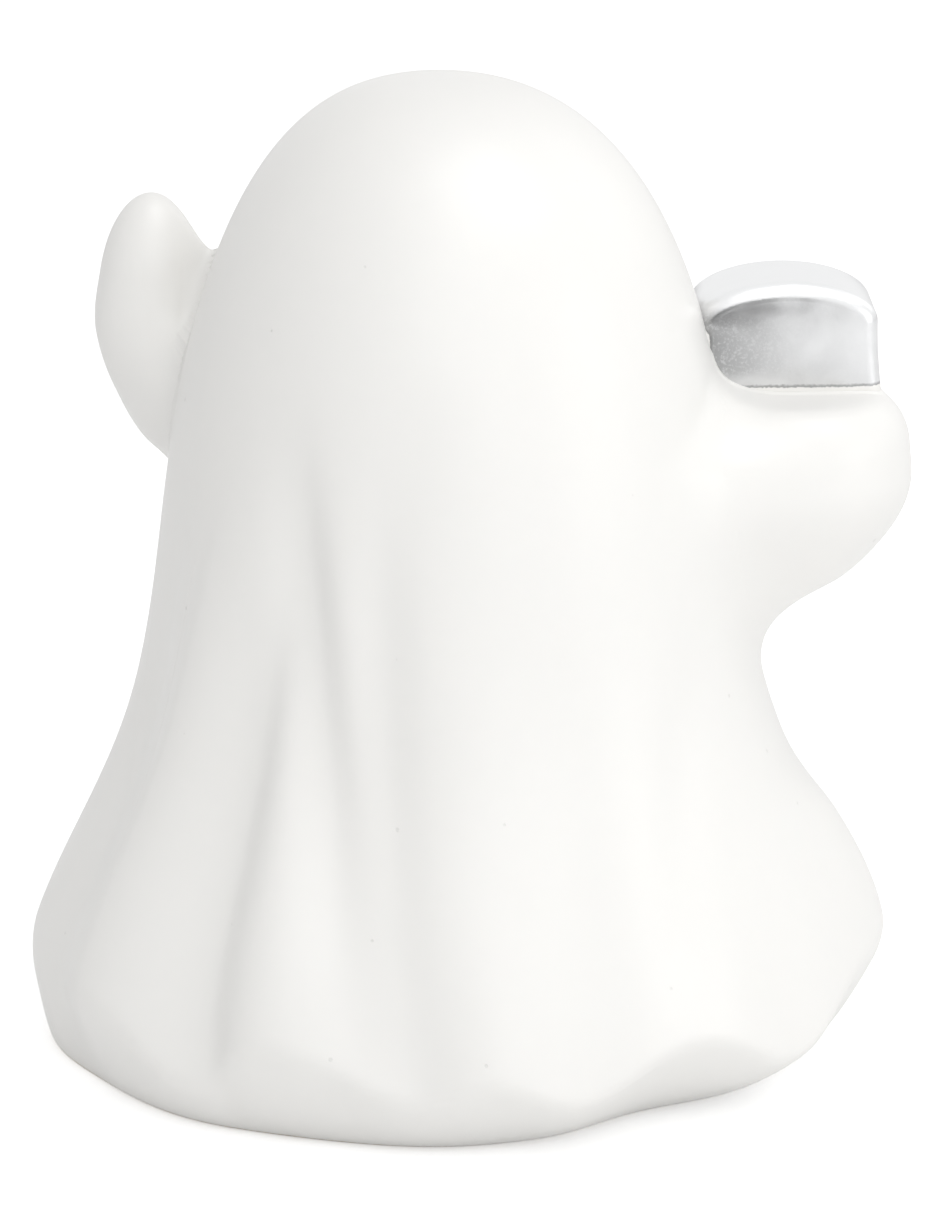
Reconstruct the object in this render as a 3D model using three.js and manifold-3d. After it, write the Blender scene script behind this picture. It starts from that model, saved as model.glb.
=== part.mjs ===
// Ceramic ghost figure with a lustred silver block standing on its right hand.
// Millimetres, +Z up. The origin is on the body's axis at the table, the ghost faces -Y,
// its left arm is on +X and its right arm on -X.
// A bearing is an angle in degrees round the axis, 0 at the middle of the back, growing to the ghost's right.

import * as THREE from "three";
import { mergeVertices } from "three/addons/utils/BufferGeometryUtils.js";
import Module from "manifold-3d";

const wasm = await Module();
wasm.setup();

// Body: a dome that flares out to a draped hem
const height = 145.2;
const domeRadius = 44;
const domePower = 3.67;
const domeRoundness = 2.44;
const flareWidth = 20.8;
const flareHeight = 41.5;
const flarePower = 2.4;
const crownLean = 1.6;
const leanPower = 12;
const backFlatShare = 0.055;
const backFlatHeight = 62;
const wall = 4.5;
const floorThickness = 5;

// Hem: the lower edge of the cloth, high on the ridges and low where the folds come down
const hemHeight = 17.2;
const hemDip = 9.3;
const hemRound = 1.6;

// Folds: foldDepth is a deep one, and each follows its own path down from foldTop or lower
const foldDepth = 3.6;
const foldFadeShare = 0.35;
const foldFoot = 11;

// Base: the wall under the hem draws in to the foot
const sideTuck = 11.3;
const backTuck = 17.3;
const tuckPower = 0.65;
const footSwell = 8.5;
const footWidth = 13;

// Underside: a felt disc lies flush in a recess and covers the drain hole
const feltThickness = 1.5;
const drainDiameter = 18;

// Right arm: a thick arm that ends in a flat palm
const rightBearing = 100;
const rightRootRadiusShare = 0.5;
const rightRootLevelShare = 0.43;
const rightRootRadius = 9.4;
const handReach = 4.1;
const handRise = 21.9;
const handRadius = 15.8;
const palmReach = 7.2;
const palmRise = 36.4;
const palmRadius = 15.2;
const palmThickness = 18.4;
const palmEdge = 4.6;
const palmRim = 1;
const palmBlend = 8;
const webTop = 18;
const webUnder = 8;
const webRise = 28;
const webCrown = 6;
const webDrop = 8;
const webFade = 12;

// Left arm: a short forearm that ends in a raised ovoid mitten
const leftRootBearing = -103.6;
const leftRootRadiusShare = 0.9;
const leftRootLevelShare = 0.659;
const leftRootRadius = 11.7;
const mittenBearing = -101.5;
const mittenReach = 3.6;
const mittenRise = 13.7;
const mittenRadius = 7.3;
const mittenHalf = 14.8;
const mittenTilt = 3.4;
const wristShare = 0.35;
const wristRadius = 5.1;
const mittenBlend = 6;
const leftWebTop = 13.6;
const leftWebUnder = 6.8;
const leftWebRise = 32.6;

// Silver block: an arch-topped slab with rounded edges, turned a little on the palm
const blockWidth = 27.7;
const blockDepth = 17.5;
const blockHeight = 15.8;
const blockDraft = 0.6;
const blockShoulder = 6;
const shoulderPower = 2;
const blockEdge = 2.4;
const blockBearing = 108.6;
const blockReach = 5.1;
const blockTurn = 12.5;

// Face: glazed inlays in shallow hollows
const eyeWidth = 8;
const eyeHeight = 12;
const eyeSpacing = 19.5;
const eyeLevelShare = 0.757;
const mouthWidth = 7;
const mouthHeight = 9;
const mouthLevelShare = 0.648;
const inlayDepth = 1.4;
const inlayCrown = 0.5;

// Clearance between two pieces, and how far a cutter overruns what it cuts
const gap = 0.3;
const seamLap = 1.5;
const seatShare = 0.3;
const restShare = 0.9;
const overrun = 4;

const hemRadius = domeRadius + flareWidth;
const footHalfWidth = hemRadius - sideTuck;
const footHalfDepth = hemRadius - backTuck;
const feltRadius = footHalfDepth - footWidth;
const recessDepth = feltThickness + gap;
const reachLimit = hemRadius + domeRadius;

// Each fold: top as a share of the height, bearings at its top, middle and foot, depths at the middle and foot
// as shares of foldDepth (a negative one swells out), and spread to the left and right at its top and its foot
const foldShares = [
  { top: 0.63, path: [-23, -28.5, -27], depth: [0.8, 1.22], spread: [9, 5, 11, 6] },
  { top: 0.78, path: [-25, -15, -3], depth: [0.72, 0.03], spread: [8, 4.6, 6, 6] },
  { top: 0.75, path: [-2, -2.5, 5], depth: [0.56, 0.94], spread: [4.5, 6, 12, 8] },
  { top: 0.57, path: [37, 31, 30], depth: [0.25, 0.47], spread: [8, 8, 9, 8] },
  { top: 0.56, path: [70, 53, 44], depth: [0.22, 0.03], spread: [6, 6, 6, 6] },
  { top: 0.35, path: [62, 62, 62], depth: [0.14, 0.33], spread: [6, 7, 6, 7] },
  { top: 0.53, path: [116, 119, 120], depth: [0.83, 0.94], spread: [8, 8, 8, 8] },
  { top: 0.51, path: [136, 140, 142], depth: [0.5, 0.78], spread: [7, 9, 7, 9] },
  { top: 0.41, path: [158, 157, 159], depth: [0.28, 0.61], spread: [9, 7, 9, 7] },
  { top: 0.43, path: [184, 182, 185], depth: [0.28, 0.61], spread: [7, 9, 7, 9] },
  { top: 0.52, path: [208, 210, 213], depth: [0.47, 0.78], spread: [9, 7, 9, 7] },
  { top: 0.48, path: [238, 239, 241], depth: [0.39, 0.72], spread: [8, 8, 8, 8] },
  { top: 0.48, path: [263, 265, 268], depth: [0.56, 0.22], spread: [11, 11, 11, 11] },
  { top: 0.75, path: [-56, -61, -62], depth: [0.33, 0.56], spread: [9, 6, 9, 6] },
  { top: 0.7, path: [-35, -47, -49], depth: [-0.39, -0.33], spread: [5, 10, 5, 9] },
  { top: 0.33, path: [96, 98, 98], depth: [-0.89, -0.28], spread: [14, 9, 14, 9] },
];

// Where the hem hangs lower: bearing, share of hemDip, spread to the left and right
const dipShares = [
  { bearing: -68, drop: 0.32, spread: [9, 8] },
  { bearing: -29, drop: 1, spread: [11, 7] },
  { bearing: 5, drop: 0.74, spread: [11, 9] },
  { bearing: 28, drop: 0.78, spread: [11, 10] },
  { bearing: 63, drop: 0.82, spread: [10, 12] },
  { bearing: 120, drop: 0.48, spread: [9, 9] },
  { bearing: 142, drop: 0.59, spread: [8, 8] },
  { bearing: 159, drop: 0.54, spread: [9, 8] },
  { bearing: 185, drop: 0.59, spread: [9, 10] },
  { bearing: 213, drop: 0.7, spread: [10, 9] },
  { bearing: 241, drop: 0.59, spread: [9, 9] },
  { bearing: 268, drop: 0.38, spread: [12, 10] },
];

// Places where the foot's outline swells or draws in: bearing, share of footSwell, spread in degrees
const footShares = [
  { bearing: 50, swell: -1, spread: 26 },
  { bearing: 78, swell: -0.3, spread: 14 },
  { bearing: -38, swell: 0.28, spread: 17 },
  { bearing: -82, swell: 0.7, spread: 26 },
];

// How finely the surfaces are divided
const bodyColumns = 88;
const backCrowding = 0.7;
const tuckRows = 6;
const tuckRowPower = 1.3;
const clothRows = 33;
const clothRowPower = 1.2;
const seatColumns = 72;
const seatRows = 28;
const cavityColumns = 44;
const cavityRows = 17;
const armColumns = 36;
const armRows = 22;
const blockSteps = 16;
const edgeSteps = 4;
const inlayColumns = 28;
const inlayRings = 3;
const discColumns = 64;
const searchSteps = 26;

const radians = THREE.MathUtils.degToRad;
const saturate = (t) => THREE.MathUtils.clamp(t, 0, 1);
const smoothstep = (t) => t * t * (3 - 2 * t);
const wrapDegrees = (a) => THREE.MathUtils.euclideanModulo(a + 180, 360) - 180;

// A bell that is 1 at zero and falls off over its left or right spread
const bell = (offset, left, right) => Math.exp(-((offset / (offset < 0 ? left : right)) ** 2));

// The parabola through a value at t = 0, one at t = 0.5 and one at t = 1
const through = (t, low, middle, high) =>
  low * (1 - t) * (1 - 2 * t) + middle * 4 * t * (1 - t) + high * t * (2 * t - 1);

// The lesser and the greater of two distances, rounded where they meet over the width k
function blendMin(a, b, k) {
  const h = Math.max(k - Math.abs(a - b), 0) / k;
  return Math.min(a, b) - (h * h * k) / 4;
}
const blendMax = (a, b, k) => -blendMin(-a, -b, k);

// Mean radius of the body at a height: a rounded dome, and a flare that dies out upwards
function meanRadius(z) {
  const dome = domeRadius * (1 - saturate(z / height) ** domePower) ** (1 / domeRoundness);
  return dome + flareWidth * Math.exp(-((Math.max(z, 0) / flareHeight) ** flarePower));
}

// The outward direction of the mean outline at a height, as radius and height
function meanNormal(z) {
  const rise = (meanRadius(z + gap) - meanRadius(z - gap)) / (2 * gap);
  return new THREE.Vector2(1, -rise).normalize();
}

// How far one fold draws the cloth in at a bearing and a height
function foldAt(fold, bearing, z) {
  const t = saturate((z - foldFoot) / (fold.top * height - foldFoot));
  const share = through(t, fold.depth[1], fold.depth[0], 0);
  if (share * fold.depth[0] <= 0) return 0;
  const [left, right, leftFoot, rightFoot] = fold.spread;
  const offset = wrapDegrees(bearing - through(t, fold.path[2], fold.path[1], fold.path[0]));
  const width = bell(offset, leftFoot + (left - leftFoot) * t, rightFoot + (right - rightFoot) * t);
  return foldDepth * share * smoothstep(saturate((1 - t) / foldFadeShare)) * width;
}

// Radius of the cloth above the hem
function clothRadius(bearing, z) {
  const flat = backFlatShare * Math.cos(radians(bearing)) ** 2 * saturate((backFlatHeight - z) / backFlatHeight);
  return foldShares.reduce((radius, fold) => radius - foldAt(fold, bearing, z), meanRadius(z) * (1 - flat));
}

// Height of the hem's edge at a bearing
const hemAt = (bearing) =>
  dipShares.reduce((z, dip) => z - hemDip * dip.drop * bell(wrapDegrees(bearing - dip.bearing), ...dip.spread), hemHeight);

// Radius of the foot's outline at a bearing
function footRadius(bearing) {
  const side = Math.sin(radians(bearing)) / footHalfWidth;
  const back = Math.cos(radians(bearing)) / footHalfDepth;
  return footShares.reduce(
    (radius, wave) => radius + footSwell * wave.swell * bell(wrapDegrees(bearing - wave.bearing), wave.spread, wave.spread),
    1 / Math.hypot(side, back),
  );
}

// Radius of the whole outer surface: the cloth down to its hem, then the wall that draws in to the foot
function skinRadius(bearing, z) {
  const edge = hemAt(bearing);
  const foot = footRadius(bearing);
  const tuck = foot + (clothRadius(bearing, edge) - foot) * (Math.max(z, 0) / edge) ** tuckPower;
  return Math.max(blendMin(clothRadius(bearing, z), tuck, hemRound), 0);
}

// The axis leans a little to the ghost's left at the crown
const leanAt = (z) => crownLean * saturate(z / height) ** leanPower;

function pointAt(bearing, radius, z) {
  const b = radians(bearing);
  return new THREE.Vector3(leanAt(z) - Math.sin(b) * radius, Math.cos(b) * radius, z);
}

// About how far a point is from the body's skin, negative inside
function skinDistance(p) {
  const z = THREE.MathUtils.clamp(p.z, 0, height - gap * 2);
  const x = p.x - leanAt(z);
  const bearing = THREE.MathUtils.radToDeg(Math.atan2(-x, p.y));
  return (Math.hypot(x, p.y) - skinRadius(bearing, z)) * meanNormal(z).x;
}

// Distance from a point to a straight cone with a ball at each end
function taperDistance(p, from, to, fromRadius, toRadius) {
  const axis = new THREE.Vector3().subVectors(to, from);
  const length = axis.length();
  const along = new THREE.Vector3().subVectors(p, from).dot(axis) / length;
  const across = Math.sqrt(Math.max(p.distanceToSquared(from) - along * along, 0));
  const sine = (fromRadius - toRadius) / length;
  const t = saturate((along - (across * sine) / Math.sqrt(1 - sine * sine)) / length);
  return p.distanceTo(from.clone().lerp(to, t)) - (fromRadius + (toRadius - fromRadius) * t);
}

// About how far a point is from an ovoid, round its axis
function ovoidDistance(p, centre, axis, radius, half) {
  const along = new THREE.Vector3().subVectors(p, centre).dot(axis);
  const across = Math.sqrt(Math.max(p.distanceToSquared(centre) - along * along, 0));
  const share = Math.hypot(across / radius, along / half);
  return (share * (share - 1)) / Math.max(Math.hypot(across / radius ** 2, along / half ** 2), 1 / reachLimit);
}

// Distance from a point to an upright disc with a rounded edge
function discDistance(p, centre, radius, thickness, edge) {
  const out = Math.hypot(p.x - centre.x, p.y - centre.y) - (radius - edge);
  const up = Math.abs(p.z - centre.z) - (thickness / 2 - edge);
  return Math.min(Math.max(out, up), 0) + Math.hypot(Math.max(out, 0), Math.max(up, 0)) - edge;
}

const rightRootZ = height * rightRootLevelShare;
const rightRoot = pointAt(rightBearing, domeRadius * rightRootRadiusShare, rightRootZ);
const hand = pointAt(rightBearing, domeRadius + handReach, rightRootZ + handRise);
const palmTop = rightRootZ + palmRise;
const palm = pointAt(rightBearing, domeRadius + palmReach, palmTop - palmThickness / 2);

const leftRootZ = height * leftRootLevelShare;
const leftRoot = pointAt(leftRootBearing, domeRadius * leftRootRadiusShare, leftRootZ);
const mitten = pointAt(mittenBearing, domeRadius + mittenReach, leftRootZ + mittenRise);
const mittenAxis = new THREE.Vector3(-Math.sin(radians(mittenTilt)), 0, Math.cos(radians(mittenTilt)));
const wrist = mitten.clone().addScaledVector(mittenAxis, -mittenHalf * wristShare);

function rightArmDistance(p) {
  const limb = taperDistance(p, rightRoot, hand, rightRootRadius, handRadius);
  const pad = discDistance(p, palm, palmRadius, palmThickness, palmEdge);
  return blendMax(blendMin(limb, pad, palmBlend), p.z - palmTop, palmRim);
}

function leftArmDistance(p) {
  const forearm = taperDistance(p, leftRoot, wrist, leftRootRadius, wristRadius);
  return blendMin(forearm, ovoidDistance(p, mitten, mittenAxis, mittenRadius, mittenHalf), mittenBlend);
}

// How widely each arm blends into the body: the right one most under the palm's top, the left one most at its tip
function rightWebAt(z) {
  const rise = smoothstep(saturate((z - rightRootZ) / webRise));
  const fall = smoothstep(saturate((z - palmTop + webDrop) / webFade));
  return webUnder + (webTop - webUnder) * rise - (webTop - webCrown) * fall;
}
const leftWebAt = (z) =>
  leftWebUnder + (leftWebTop - leftWebUnder) * saturate((z - mitten.z - mittenHalf / 2) / leftWebRise + 1);
const armAt = (p) =>
  p.x < 0
    ? { distance: rightArmDistance(p), web: rightWebAt(p.z) }
    : { distance: leftArmDistance(p), web: leftWebAt(p.z) };

// A piece with its half of the fillet to its neighbour, and a lap past the line where both are as near
const sharedDistance = (own, other, web) => Math.max(blendMin(own, other, web), own - web / 4 - seamLap);

// The point on a ray where a distance grows past a value
function surfaceAlong(rayAt, near, far, distance, value) {
  let low = near;
  let high = far;
  for (let i = 0; i < searchSteps; i++) {
    const middle = (low + high) / 2;
    if (distance(rayAt(middle)) < value) low = middle;
    else high = middle;
  }
  return rayAt(low);
}

function solidOf(geometry) {
  const position = geometry.getAttribute("position");
  const mesh = new wasm.Mesh({
    numProp: position.itemSize,
    vertProperties: position.array,
    triVerts: new Uint32Array(geometry.index.array),
  });
  return new wasm.Manifold(mesh);
}

// A closed solid from rings of points, each ring once round its axis, with one point closing each end
function ringSolid(first, rings, last) {
  const points = [first, ...rings.flat(), last];
  const around = rings[0].length;
  const top = rings.length - 1;
  const at = (ring, step) => 1 + ring * around + (step % around);
  const index = [];
  for (let j = 0; j < around; j++) {
    index.push(0, at(0, j + 1), at(0, j));
    for (let i = 0; i < top; i++) {
      index.push(at(i, j), at(i, j + 1), at(i + 1, j));
      index.push(at(i, j + 1), at(i + 1, j + 1), at(i + 1, j));
    }
    index.push(at(top, j), at(top, j + 1), points.length - 1);
  }
  return solidOf(new THREE.BufferGeometry().setFromPoints(points).setIndex(index));
}

const steps = (count, make) => Array.from({ length: count }, (_, i) => make(i));

// Columns crowd together at the back, where the folds are narrow
const columnBearing = (j, columns) => {
  const side = (2 * j) / columns - 1;
  return 180 * side * (backCrowding + (1 - backCrowding) * Math.abs(side));
};

// The body's outer surface grown by a margin, with the raised fillets that meet the arms
function outerSolid(grow) {
  const ring = (heightAt) =>
    steps(bodyColumns, (j) => {
      const bearing = columnBearing(j, bodyColumns);
      const z = heightAt(hemAt(bearing));
      const radius = skinRadius(bearing, z) + grow;
      const rayAt = (r) => pointAt(bearing, r, z);
      const shared = (p) => {
        const { distance, web } = armAt(p);
        return sharedDistance(skinDistance(p), distance, web);
      };
      if (z === 0 || shared(rayAt(radius)) >= grow) return rayAt(radius);
      return surfaceAlong(rayAt, radius, radius + webTop, shared, grow);
    });
  const rings = [
    ...steps(tuckRows, (i) => ring((edge) => edge * (i / tuckRows) ** tuckRowPower)),
    ...steps(clothRows, (i) => {
      const rise = Math.sin((Math.PI / 2) * (i / clothRows) ** clothRowPower);
      return ring((edge) => edge + (height - edge) * rise);
    }),
  ];
  return ringSolid(pointAt(0, 0, 0), rings, pointAt(0, 0, height + grow));
}

// The body's skin moved out to where the arms are stuck on, half way through their fillets, above a wide skirt
function seatSolid(grow) {
  const low = height * seatShare;
  const ring = (z) =>
    steps(seatColumns, (j) => {
      const bearing = columnBearing(j, seatColumns);
      const web = bearing > 0 ? rightWebAt(z) : leftWebAt(z);
      const outward = meanNormal(z).multiplyScalar(web / 4 + grow);
      return pointAt(bearing, skinRadius(bearing, z) + outward.x, z + outward.y);
    });
  const skirt = [-overrun, low].map((z) =>
    steps(seatColumns, (j) => pointAt(columnBearing(j, seatColumns), hemRadius + overrun, z)),
  );
  const rings = steps(seatRows, (i) => ring(low + (height - low) * Math.sin(((Math.PI / 2) * i) / seatRows)));
  return ringSolid(pointAt(0, 0, -overrun), [...skirt, ...rings], pointAt(0, 0, height + overrun + grow));
}

// The cast hollow: the outer surface moved in by the wall
function cavitySolid() {
  const lowest = floorThickness + wall * meanNormal(floorThickness).y;
  const rings = steps(cavityRows, (i) => {
    const z = lowest + (height - lowest) * Math.sin(((Math.PI / 2) * i) / cavityRows);
    const inward = meanNormal(z).multiplyScalar(wall);
    return steps(cavityColumns, (j) => {
      const bearing = columnBearing(j, cavityColumns);
      return pointAt(bearing, skinRadius(bearing, z) - inward.x, z - inward.y);
    });
  });
  const bottom = pointAt(0, 0, rings[0][0].z);
  return ringSolid(bottom, rings, pointAt(0, 0, height - wall));
}

// An arm as seen from a point inside it, grown by a margin, running on inside the body
function armSolid(centre, root, distance, webAt, grow) {
  const axis = new THREE.Vector3().subVectors(root, centre).normalize();
  const side = new THREE.Vector3(-axis.y, axis.x, 0).normalize();
  const other = new THREE.Vector3().crossVectors(axis, side);
  const shared = (p) => sharedDistance(distance(p), skinDistance(p), webAt(p.z));
  const surfaceAt = (turn, tilt) => {
    const direction = new THREE.Vector3()
      .addScaledVector(axis, -Math.cos(tilt))
      .addScaledVector(side, Math.sin(tilt) * Math.cos(turn))
      .addScaledVector(other, Math.sin(tilt) * Math.sin(turn));
    const rayAt = (r) => centre.clone().addScaledVector(direction, r);
    return surfaceAlong(rayAt, 0, reachLimit, shared, grow);
  };
  const rings = steps(armRows - 1, (i) =>
    steps(armColumns, (j) => surfaceAt((2 * Math.PI * j) / armColumns, (Math.PI * (i + 1)) / armRows)),
  );
  return ringSolid(surfaceAt(0, 0), rings, surfaceAt(0, Math.PI));
}

// An upright round bar between two heights
function barSolid(centre, radius, low, high) {
  const ring = (z) =>
    steps(discColumns, (j) => {
      const turn = (2 * Math.PI * j) / discColumns;
      return new THREE.Vector3(centre.x + radius * Math.cos(turn), centre.y + radius * Math.sin(turn), z);
    });
  return ringSolid(centre.clone().setZ(low), [ring(low), ring(high)], centre.clone().setZ(high));
}

// An oval plug through the body's skin at a bearing and height, from one depth to another, crowned in the middle
function plugSolid(bearing, level, width, tall, inner, outer, crown) {
  const perDegree = radians(1) * skinRadius(bearing, level);
  const pointOn = (share, turn, depth, bulge) => {
    const across = (share * width * Math.cos(turn)) / 2 / perDegree;
    const z = level + (share * tall * Math.sin(turn)) / 2;
    return pointAt(bearing + across, skinRadius(bearing + across, z) + depth + bulge * (1 - share * share), z);
  };
  const ring = (share, depth, bulge) =>
    steps(inlayColumns, (j) => pointOn(share, (2 * Math.PI * j) / inlayColumns, depth, bulge));
  const rings = [
    ...steps(inlayRings, (i) => ring((i + 1) / inlayRings, inner, 0)),
    ...steps(inlayRings, (i) => ring((inlayRings - i) / inlayRings, outer, crown)),
  ];
  return ringSolid(pointOn(0, 0, inner, 0), rings, pointOn(0, 0, outer, crown));
}

// The block: drafted sides and an arched top with rounded shoulders, its front and back edges rounded
function blockSolid() {
  const half = blockWidth / 2;
  const shoulderLevel = blockHeight - blockShoulder;
  const arch = steps(blockSteps + 1, (i) => {
    const turn = (Math.PI * i) / blockSteps;
    const across = Math.sign(Math.cos(turn)) * Math.abs(Math.cos(turn)) ** (2 / shoulderPower);
    const up = Math.abs(Math.sin(turn)) ** (2 / shoulderPower);
    return new THREE.Vector2(across * (half - blockDraft), shoulderLevel + blockShoulder * up);
  });
  const below = [new THREE.Vector2(-half, -overrun), new THREE.Vector2(half, -overrun)];
  const straight = blockDepth - 2 * blockEdge;
  const slab = new THREE.ExtrudeGeometry(new THREE.Shape([...arch, ...below]), {
    depth: straight,
    bevelThickness: blockEdge,
    bevelSize: blockEdge,
    bevelOffset: -blockEdge,
    bevelSegments: edgeSteps,
  });
  const foot = pointAt(blockBearing, domeRadius + blockReach, palmTop + gap);
  slab.translate(0, 0, -straight / 2).rotateX(Math.PI / 2).rotateZ(radians(blockTurn));
  slab.translate(foot.x, foot.y, foot.z);
  slab.deleteAttribute("normal").deleteAttribute("uv");
  return solidOf(mergeVertices(slab)).subtract(barSolid(foot, blockWidth, foot.z - 2 * overrun, foot.z));
}

const outer = outerSolid(0).intersect(seatSolid(0));
const seatGrown = seatSolid(gap);
const outerGrown = outerSolid(gap).intersect(seatGrown);
const axis = new THREE.Vector3();

const eyeLevel = height * eyeLevelShare;
const eyeOffset = THREE.MathUtils.radToDeg(eyeSpacing / 2 / meanRadius(eyeLevel));
const mouthLevel = height * mouthLevelShare;
const ovals = {
  left_eye: [180 + eyeOffset, eyeLevel, eyeWidth, eyeHeight],
  right_eye: [180 - eyeOffset, eyeLevel, eyeWidth, eyeHeight],
  mouth: [180, mouthLevel, mouthWidth, mouthHeight],
};
const hollows = Object.values(ovals).map(([bearing, level, width, tall]) =>
  plugSolid(bearing, level, width + 2 * gap, tall + 2 * gap, -inlayDepth - gap, overrun, 0),
);
const drain = barSolid(axis, drainDiameter / 2, -overrun, floorThickness + overrun);
const recess = barSolid(axis, feltRadius + gap, -overrun, recessDepth);

const rightArm = (grow) => armSolid(hand, rightRoot, rightArmDistance, rightWebAt, grow);
const leftArm = armSolid(mitten, leftRoot, leftArmDistance, leftWebAt, 0);

const glaze = new THREE.MeshStandardMaterial({ color: 0xf4f2ec, roughness: 0.3 });
const lustre = new THREE.MeshStandardMaterial({ color: 0xb9bcc2, roughness: 0.15, metalness: 1 });
const blackGlaze = new THREE.MeshStandardMaterial({ color: 0x0d0d0f, roughness: 0.15 });
const feltCloth = new THREE.MeshStandardMaterial({ color: 0x3b3d3a, roughness: 0.95 });

const ghost = new THREE.Group();

function addPiece(name, solid, material) {
  const { vertProperties, triVerts, numProp } = solid.getMesh();
  const geometry = new THREE.BufferGeometry();
  geometry.setAttribute("position", new THREE.BufferAttribute(vertProperties, numProp));
  geometry.setIndex(new THREE.BufferAttribute(triVerts, 1)).computeVertexNormals();
  const mesh = new THREE.Mesh(geometry, material);
  mesh.name = name;
  ghost.add(mesh);
}

const shell = [cavitySolid(), drain, recess, ...hollows].reduce((made, cutter) => made.subtract(cutter), outer);
addPiece("body_shell", shell, glaze);
addPiece("left_arm", leftArm.subtract(seatGrown), glaze);
addPiece("right_arm", rightArm(0).subtract(seatGrown), glaze);
addPiece("silver_block", blockSolid().subtract(outerGrown).subtract(rightArm(gap * restShare)), lustre);
for (const [name, oval] of Object.entries(ovals))
  addPiece(name, plugSolid(...oval, -inlayDepth, 0, inlayCrown), blackGlaze);
addPiece("base_felt", barSolid(axis, feltRadius, 0, feltThickness), feltCloth);

export default ghost;
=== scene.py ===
"""Glazed ceramic ghost figurine that holds a silver lustred block on its right palm.

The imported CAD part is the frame. The glazed surfaces are worked out again here from the same sizes, finer
and without the clearances between the cast pieces, and get their glaze, lustre and felt.
A bearing is an angle in degrees round the body's axis, 0 at the middle of the back (+Y), growing to the
ghost's right (-X). Lengths are metres.
"""

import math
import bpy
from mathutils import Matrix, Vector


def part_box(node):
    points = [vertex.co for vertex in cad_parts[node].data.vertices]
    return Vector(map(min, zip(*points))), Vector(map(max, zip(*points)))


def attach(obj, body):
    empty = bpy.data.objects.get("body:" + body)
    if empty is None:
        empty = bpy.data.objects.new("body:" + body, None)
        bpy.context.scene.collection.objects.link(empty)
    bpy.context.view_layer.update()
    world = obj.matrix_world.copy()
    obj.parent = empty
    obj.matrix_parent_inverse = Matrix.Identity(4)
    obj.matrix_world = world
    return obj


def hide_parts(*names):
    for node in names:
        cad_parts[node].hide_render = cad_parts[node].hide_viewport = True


bl_info = {
    "name": "Ceramic Ghost Figurine",
    "version": (1, 0, 0),
    "blender": (4, 5, 0),
    "location": "View3D > Sidebar > Ghost",
    "description": "Builds a glazed ghost figurine with its silver block, felt base and studio",
    "category": "Add Mesh",
}

import bpy
import numpy as np
from bpy.props import FloatProperty, FloatVectorProperty, PointerProperty
from mathutils import Vector

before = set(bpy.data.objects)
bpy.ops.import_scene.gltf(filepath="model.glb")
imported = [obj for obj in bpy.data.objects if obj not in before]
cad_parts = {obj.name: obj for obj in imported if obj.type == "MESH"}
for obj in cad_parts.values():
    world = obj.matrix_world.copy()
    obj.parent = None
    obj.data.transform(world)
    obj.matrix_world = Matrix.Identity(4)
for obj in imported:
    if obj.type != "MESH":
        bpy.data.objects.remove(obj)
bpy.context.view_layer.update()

MM = 0.001
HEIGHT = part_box("body_shell")[1].z

# Body: a dome that flares out to a draped hem. The flare and the palm are 0.1 to 0.2 mm slimmer than the
# CAD's, so that the finer surface keeps inside its box. The palm's rim is rounder than the CAD's, the left
# arm's web is narrower, the more so at the back, and the block's faces are crowned inside its depth
DOME_RADIUS = 44 * MM
DOME_POWER = 3.67
DOME_ROUNDNESS = 2.44
FLARE_WIDTH = 20.6 * MM
FLARE_HEIGHT = 41.5 * MM
FLARE_POWER = 2.4
CROWN_LEAN = 1.6 * MM
LEAN_POWER = 12
BACK_FLAT_SHARE = 0.055
BACK_FLAT_HEIGHT = 62 * MM
SLOPE_STEP = 0.3 * MM
SLOPE_TOP = HEIGHT - 2 * SLOPE_STEP

# Hem, folds and foot
HEM_HEIGHT = 17.2 * MM
HEM_ROUND = 1.6 * MM
FOLD_FADE_SHARE = 0.35
FOLD_FOOT = 11 * MM
FOOT_HALF_WIDTH = 53.5 * MM
FOOT_HALF_DEPTH = 47.5 * MM
FOOT_SWELL = 8.5 * MM
FOOT_EDGE = 0.2 * MM
TUCK_POWER = 0.65
RECESS_DEPTH = 1.8 * MM
CLEARANCE = 0.3 * MM

# Right arm and its palm
RIGHT_BEARING = 100
RIGHT_ROOT_REACH = DOME_RADIUS / 2
RIGHT_ROOT_RADIUS = 9.4 * MM
RIGHT_ROOT_LEVEL = HEIGHT * 0.43
HAND_REACH = 4.1 * MM
HAND_RISE = 21.9 * MM
HAND_RADIUS = 15.8 * MM
PALM_REACH = 7.2 * MM
PALM_TOP = RIGHT_ROOT_LEVEL + 36.4 * MM
PALM_THICKNESS = 18.4 * MM
PALM_EDGE = 7 * MM
PALM_RIM = 1 * MM
PALM_BLEND = 8 * MM
WEB_TOP = 18 * MM
WEB_UNDER = 8 * MM
WEB_RISE = 28 * MM
WEB_CROWN = 6 * MM
WEB_DROP = 8 * MM
WEB_FADE = 12 * MM
WEB_FOOT = HEIGHT * 0.25

# Left arm: a short forearm and an ovoid mitten
LEFT_ROOT_BEARING = -103.6
LEFT_ROOT_REACH = DOME_RADIUS * 0.9
LEFT_ROOT_LEVEL = HEIGHT * 0.659
LEFT_ROOT_RADIUS = 11.7 * MM
MITTEN_BEARING = -101.5
MITTEN_REACH = 3.6 * MM
MITTEN_RISE = 13.7 * MM
MITTEN_TILT = 3.4
WRIST_SHARE = 0.35
WRIST_RADIUS = 5.1 * MM
MITTEN_BLEND = 6 * MM
LEFT_WEB_TOP = 12 * MM
LEFT_WEB_UNDER = 6.8 * MM
LEFT_WEB_RISE = 32.6 * MM
LEFT_WEB_BACK = 3 * MM
LEFT_WEB_TURN = 7 * MM

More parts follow.
